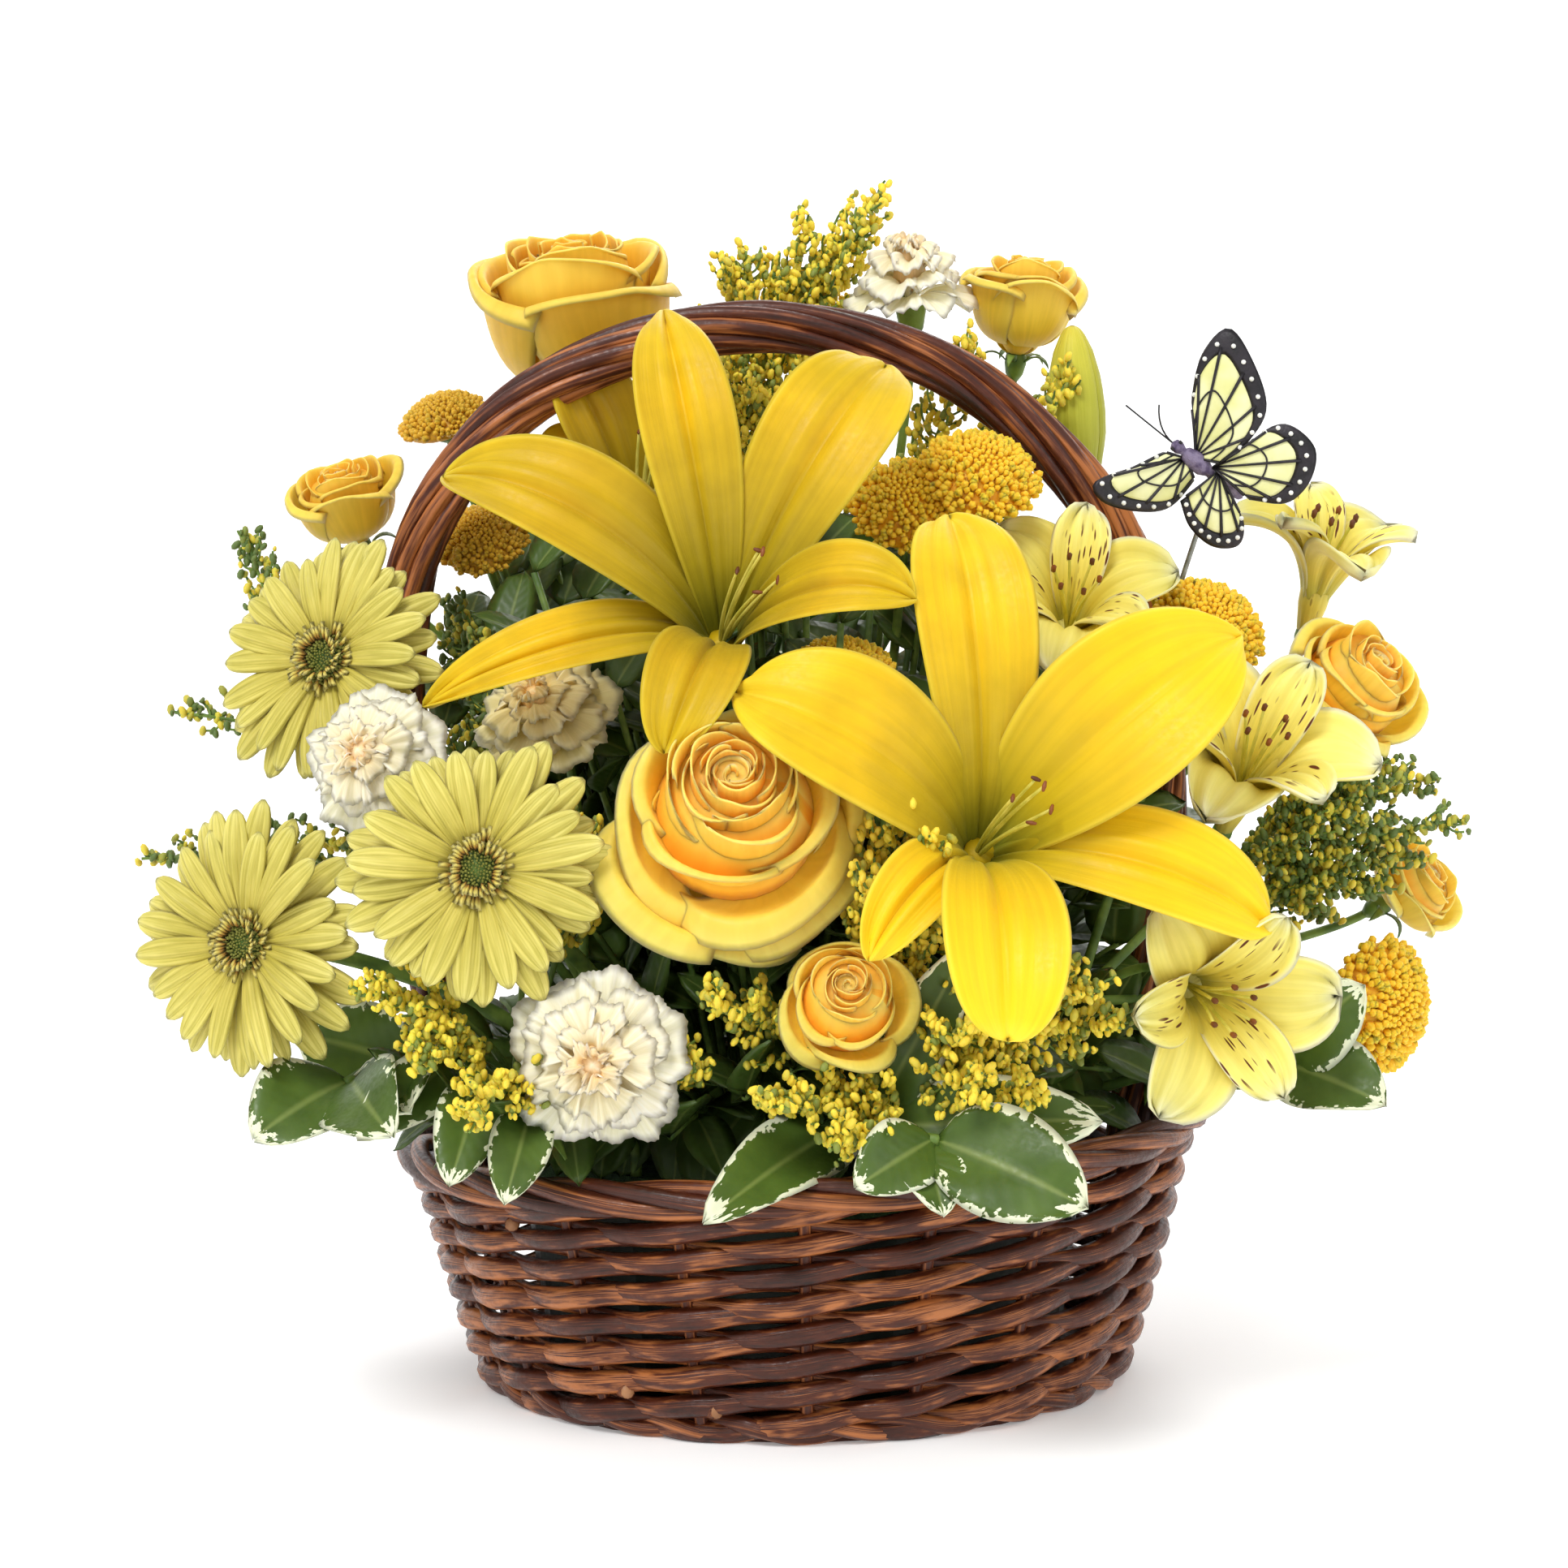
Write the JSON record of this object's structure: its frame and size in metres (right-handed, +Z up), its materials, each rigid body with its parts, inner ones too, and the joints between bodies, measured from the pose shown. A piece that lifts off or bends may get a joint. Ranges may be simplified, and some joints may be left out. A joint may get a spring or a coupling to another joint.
{
  "type": "flower basket arrangement",
  "caption": "Round woven willow basket with a tall twisted hoop handle, holding a front-facing arrangement of yellow and white cut flowers in wet foam, as a gift or table decoration.",
  "frame": {"origin": "on the basket's vertical axis at its flat underside", "axes": "+Z up, -Y towards the viewer the flowers face, +X to that viewer's right, along the handle's span"},
  "size_m": [0.4098, 0.2847, 0.3675],
  "materials": {
    "willow": "dark reddish-brown peeled willow, satin",
    "liner": "thin dark green plastic bowl",
    "foam": "wet green floral foam, matte",
    "stem": "fresh green stems, satin",
    "lily": "fresh yellow lily petals, soft sheen",
    "gerbera": "pale greenish yellow ray florets",
    "rose": "peach to golden rose petals, velvety",
    "carnation": "cream carnation petals",
    "mum": "golden button chrysanthemum florets",
    "alstroemeria": "pale yellow flecked petals",
    "goldenrod": "small yellow and green flower heads",
    "leaf": "dark green leaves with cream edges, waxy",
    "butterfly": "pale wings with dark veins",
    "wire": "thin pick wire"
  },
  "bodies": {
    "root": {"basket_base": "willow", "basket_wall": "willow", "basket_border": "willow", "basket_handle": "willow", "liner_bowl": "liner", "butterfly": "butterfly", "butterfly_wire": "wire", "lily_1_petals": "lily", "lily_2_petals": "lily", "lily_stem": "stem", "gerbera_1_rays": "gerbera", "gerbera_1_stem": "stem", "gerbera_2_rays": "gerbera", "gerbera_2_stem": "stem", "gerbera_3_rays": "gerbera", "gerbera_3_stem": "stem", "rose_1_petals": "rose", "rose_1_stem": "stem", "rose_2_petals": "rose", "rose_2_stem": "stem", "spray_rose_1_petals": "rose", "spray_rose_2_petals": "rose", "spray_rose_3_petals": "rose", "spray_rose_4_petals": "rose", "spray_rose_5_petals": "rose", "spray_rose_stem_front": "stem", "spray_rose_stem_back": "stem", "spray_rose_stem_right": "stem", "carnation_1_petals": "carnation", "carnation_2_petals": "carnation", "carnation_3_petals": "carnation", "carnation_4_petals": "carnation", "carnation_5_petals": "carnation", "carnation_stem_front": "stem", "carnation_stem_back": "stem", "mum_1_2_heads": "mum", "mum_3_head": "mum", "mum_4_head": "mum", "mum_5_head": "mum", "mum_6_head": "mum", "mum_7_head": "mum", "mum_stem_centre": "stem", "mum_stem_right": "stem", "mum_stem_left": "stem", "alstroemeria_1_petals": "alstroemeria", "alstroemeria_2_petals": "alstroemeria", "alstroemeria_3_petals": "alstroemeria", "alstroemeria_4_petals": "alstroemeria", "alstroemeria_stem_centre": "stem", "alstroemeria_stem_right": "stem", "goldenrod_top": "goldenrod", "goldenrod_left": "goldenrod", "goldenrod_front_left": "goldenrod", "goldenrod_front": "goldenrod", "goldenrod_right": "goldenrod", "pittosporum_left": "leaf", "pittosporum_front": "leaf", "pittosporum_right": "leaf", "pittosporum_back": "leaf", "foam": "foam"}
  },
  "joints": []
}
